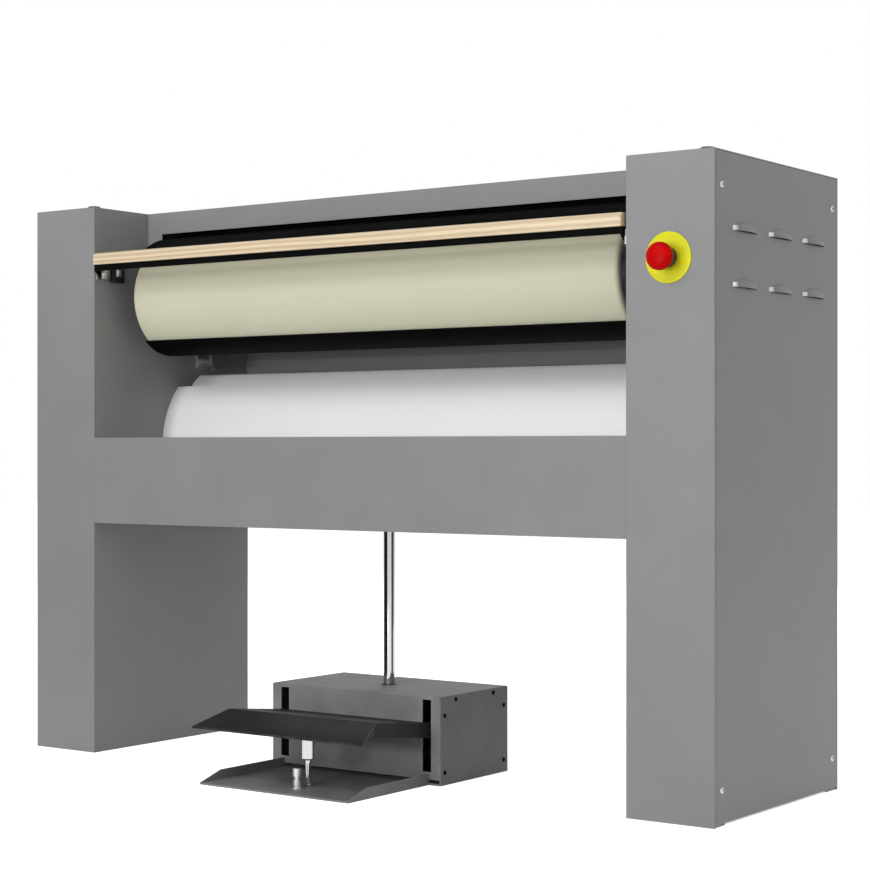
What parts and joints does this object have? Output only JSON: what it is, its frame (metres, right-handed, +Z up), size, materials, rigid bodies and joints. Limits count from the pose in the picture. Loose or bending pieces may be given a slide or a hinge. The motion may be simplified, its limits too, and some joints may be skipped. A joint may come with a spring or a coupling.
{
  "type": "flatwork ironer",
  "caption": "Free-standing flatwork ironer: padded roller under a heated swing-back shoe between two columns, with a foot pedal, a wooden finger guard and a linen tray.",
  "frame": {"origin": "on the floor, midway between the sides and midway between the front tip of the pedal tray and the back", "axes": "+X to the operator's right along the roller, +Y to the back, +Z up"},
  "size_m": [1.396, 0.557, 0.974],
  "materials": {
    "grey_paint": "fine-textured satin grey powder coat",
    "dark_paint": "satin dark grey paint, worn on top",
    "box_paint": "satin mid grey paint",
    "black_steel": "blackened steel",
    "black_guide": "satin black coated sheet",
    "zinc_steel": "zinc plated",
    "frame_steel": "oiled mild steel",
    "chrome": "polished",
    "polished_steel": "polished stainless steel",
    "roller_steel": "turned",
    "padding_cloth": "woven cream cloth over felt",
    "cast_shoe": "black outside, polished on the inner face",
    "back_sheet": "galvanised",
    "insulation": "mineral wool blanket",
    "heater_steel": "heat-darkened sheath",
    "wood": "planed, clear lacquer",
    "red_plastic": "moulded",
    "yellow_plastic": "moulded",
    "black_plastic": "moulded",
    "belt_rubber": "ribbed belt rubber",
    "motor_paint": "sprayed",
    "cast_aluminium": "die cast",
    "pulley_iron": "turned rim",
    "bronze": "sintered bearing bronze"
  },
  "bodies": {
    "frame": {"left_column_casing": "grey_paint", "right_column_casing": "grey_paint", "left_side_cover": "grey_paint", "right_side_cover": "grey_paint", "side_cover_screws": "zinc_steel", "top_plugs": "black_plastic", "column_base_plates": "zinc_steel", "frame_plates": "frame_steel", "front_apron": "grey_paint", "top_hood": "grey_paint", "upper_rear_panel": "grey_paint", "lower_rear_panel": "grey_paint", "cross_beams": "frame_steel", "linen_tray": "polished_steel", "lower_guide": "black_guide", "roller_bearings": "pulley_iron", "shoe_pivot_flanges": "zinc_steel", "torque_shaft_bushes": "bronze", "guard_bar_brackets": "zinc_steel", "guard_bar_switches": "black_plastic", "gearbox": "cast_aluminium", "drive_motor": "motor_paint", "drive_belt": "belt_rubber", "control_box": "zinc_steel", "stop_plate": "yellow_plastic", "stop_collar": "black_plastic", "stop_contact_block": "black_plastic", "pedal_box_base": "box_paint", "pedal_box_front": "box_paint", "pedal_box_cover": "box_paint", "pedal_box_sides": "box_paint", "pedal_box_screws": "black_steel", "rod_bush": "black_plastic", "pedal_pivot_shaft": "frame_steel", "strut_rod": "chrome", "switch_post": "zinc_steel"},
    "roller": {"roller_tube": "roller_steel", "roller_padding": "padding_cloth", "left_journal": "roller_steel", "right_journal": "roller_steel", "roller_pulley": "pulley_iron"},
    "motor_pulley": {"motor_pulley": "pulley_iron"},
    "shoe": {"heated_shoe": "cast_shoe", "heating_elements": "heater_steel", "shoe_insulation": "insulation", "shoe_back_cover": "back_sheet", "left_shoe_arm": "frame_steel", "right_shoe_arm": "frame_steel", "shoe_cranks": "frame_steel"},
    "torque_shaft": {"torque_shaft": "frame_steel"},
    "lift_links": {"lift_links": "frame_steel"},
    "pull_rod": {"pull_rod": "chrome"},
    "pedal": {"foot_pedal": "dark_paint", "pedal_cross_bar": "frame_steel"},
    "strut_cylinder": {"strut_cylinder": "chrome"},
    "guard_bar": {"wooden_bar": "wood", "bar_carrier": "black_steel"},
    "stop_stem": {"stop_stem": "black_plastic"},
    "stop_head": {"stop_head": "red_plastic"}
  },
  "joints": [
    {"name": "roller_spin", "type": "hinge", "parent": "frame", "child": "roller", "pos_m": [0, 0.0135, 0.812], "axis": [-1, 0, 0], "continuous": true},
    {"name": "motor_pulley_spin", "type": "hinge", "parent": "frame", "child": "motor_pulley", "pos_m": [0.6, 0.0135, 0.56], "axis": [-1, 0, 0], "continuous": true},
    {"name": "shoe_swing", "type": "hinge", "parent": "frame", "child": "shoe", "pos_m": [0, 0.1435, 0.705], "axis": [-1, 0, 0], "range_deg": [0, 4]},
    {"name": "torque_shaft_turn", "type": "hinge", "parent": "frame", "child": "torque_shaft", "pos_m": [0, 0.0875, 0.45], "axis": [1, 0, 0], "range_deg": [0, 8.45]},
    {"name": "lift_link_slide", "type": "slide", "parent": "frame", "child": "lift_links", "axis": [0, 0, 1], "range_m": [0, 0.00266]},
    {"name": "pull_rod_slide", "type": "slide", "parent": "frame", "child": "pull_rod", "axis": [0, 0, -1], "range_m": [0, 0.0088]},
    {"name": "pedal_swing", "type": "hinge", "parent": "frame", "child": "pedal", "pos_m": [-0.012, 0.0985, 0.07], "axis": [1, 0, 0], "range_deg": [0, 7.13]},
    {"name": "strut_slide", "type": "slide", "parent": "frame", "child": "strut_cylinder", "axis": [0, 0, -1], "range_m": [0, 0.037]},
    {"name": "guard_bar_swing", "type": "hinge", "parent": "frame", "child": "guard_bar", "pos_m": [0, -0.1165, 0.852], "axis": [-1, 0, 0], "range_deg": [0, 8], "stiffness_Nm_per_rad": 3, "springref_deg": -5.73},
    {"name": "stop_push", "type": "slide", "parent": "frame", "child": "stop_stem", "axis": [0, 1, 0], "range_m": [0, 0.0045], "stiffness_N_per_m": 900, "springref_m": -0.004},
    {"name": "stop_twist", "type": "hinge", "parent": "stop_stem", "child": "stop_head", "pos_m": [0.616, -0.1605, 0.817], "axis": [0, 1, 0], "range_deg": [0, 30], "stiffness_Nm_per_rad": 0.15, "springref_deg": -5.73}
  ],
  "couplings": [
    {"joint": "motor_pulley_spin", "follows": "roller_spin", "ratio": 2.5},
    {"joint": "torque_shaft_turn", "follows": "shoe_swing", "ratio": 2.1111},
    {"joint": "lift_link_slide", "follows": "shoe_swing", "m_per_rad": 0.038},
    {"joint": "pull_rod_slide", "follows": "shoe_swing", "m_per_rad": 0.12561},
    {"joint": "pedal_swing", "follows": "shoe_swing", "ratio": 1.7817},
    {"joint": "strut_slide", "follows": "shoe_swing", "m_per_rad": 0.52917}
  ]
}
